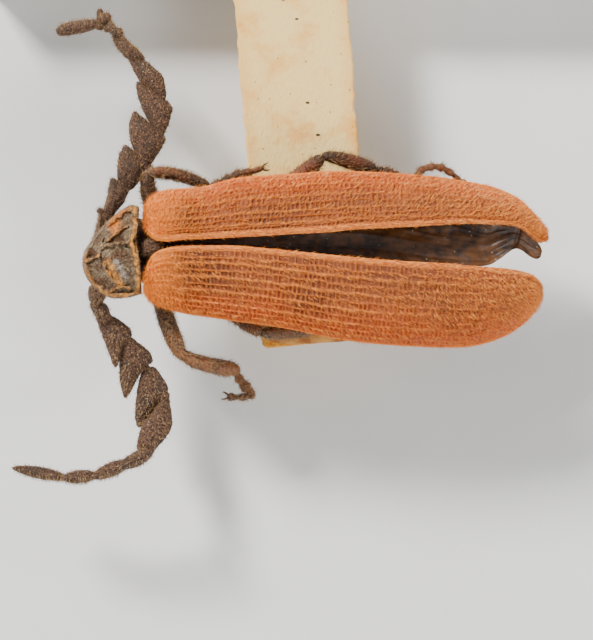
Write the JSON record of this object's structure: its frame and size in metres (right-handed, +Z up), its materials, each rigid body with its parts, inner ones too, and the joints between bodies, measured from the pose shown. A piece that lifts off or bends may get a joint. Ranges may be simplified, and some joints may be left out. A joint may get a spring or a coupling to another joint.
{
  "type": "mounted net-winged beetle",
  "caption": "Dried net-winged beetle on a narrow card strip, ribbed wing cases slightly parted, saw-edged feelers and legs spread, held by a pin on a plain block.",
  "frame": {"origin": "centre of the stand block's underside, on the floor", "axes": "+X towards the tips of the wing cases, +Y to the insect's right and along the card towards the block, +Z up"},
  "size_m": [0.012, 0.017, 0.0038],
  "materials": {
    "wing_case": "dull terracotta with short golden down",
    "hind_wing": "dark brown membrane, folded",
    "pronotum": "dark brown plate with ochre keels and margins",
    "scutellum": "dark brown, downy",
    "trunk": "dark reddish brown skin",
    "head": "blackish brown, worn",
    "eye": "black, faceted",
    "feeler": "grey-brown with golden down",
    "leg": "brown to reddish brown, downy",
    "card": "buff card, flecked",
    "glue": "amber, dried",
    "stand": "plain off-white foam",
    "pin": "plain steel"
  },
  "bodies": {
    "root": {"elytron_left": "wing_case", "elytron_right": "wing_case", "hindwing_left": "hind_wing", "hindwing_right": "hind_wing", "pronotum": "pronotum", "scutellum": "scutellum", "thorax": "trunk", "prothorax": "trunk", "abdomen": "trunk", "head": "head", "eye_left": "eye", "eye_right": "eye", "card_strip": "card", "glue": "glue", "stand_base": "stand", "stand_pin": "pin", "antenna_left_base": "feeler", "antenna_left_middle": "feeler", "antenna_left_tip": "feeler", "antenna_right_base": "feeler", "antenna_right_middle": "feeler", "antenna_right_tip": "feeler", "leg_fore_left_femur": "leg", "leg_fore_left_tibia": "leg", "leg_fore_left_tarsus": "leg", "leg_fore_right_femur": "leg", "leg_fore_right_tibia": "leg", "leg_fore_right_tarsus": "leg", "leg_mid_left_femur": "leg", "leg_mid_left_tibia": "leg", "leg_mid_left_tarsus": "leg", "leg_mid_right_femur": "leg", "leg_mid_right_tibia": "leg", "leg_mid_right_tarsus": "leg", "leg_hind_left_femur": "leg", "leg_hind_left_tibia": "leg", "leg_hind_left_tarsus": "leg", "leg_hind_right_femur": "leg", "leg_hind_right_tibia": "leg", "leg_hind_right_tarsus": "leg"}
  },
  "joints": []
}
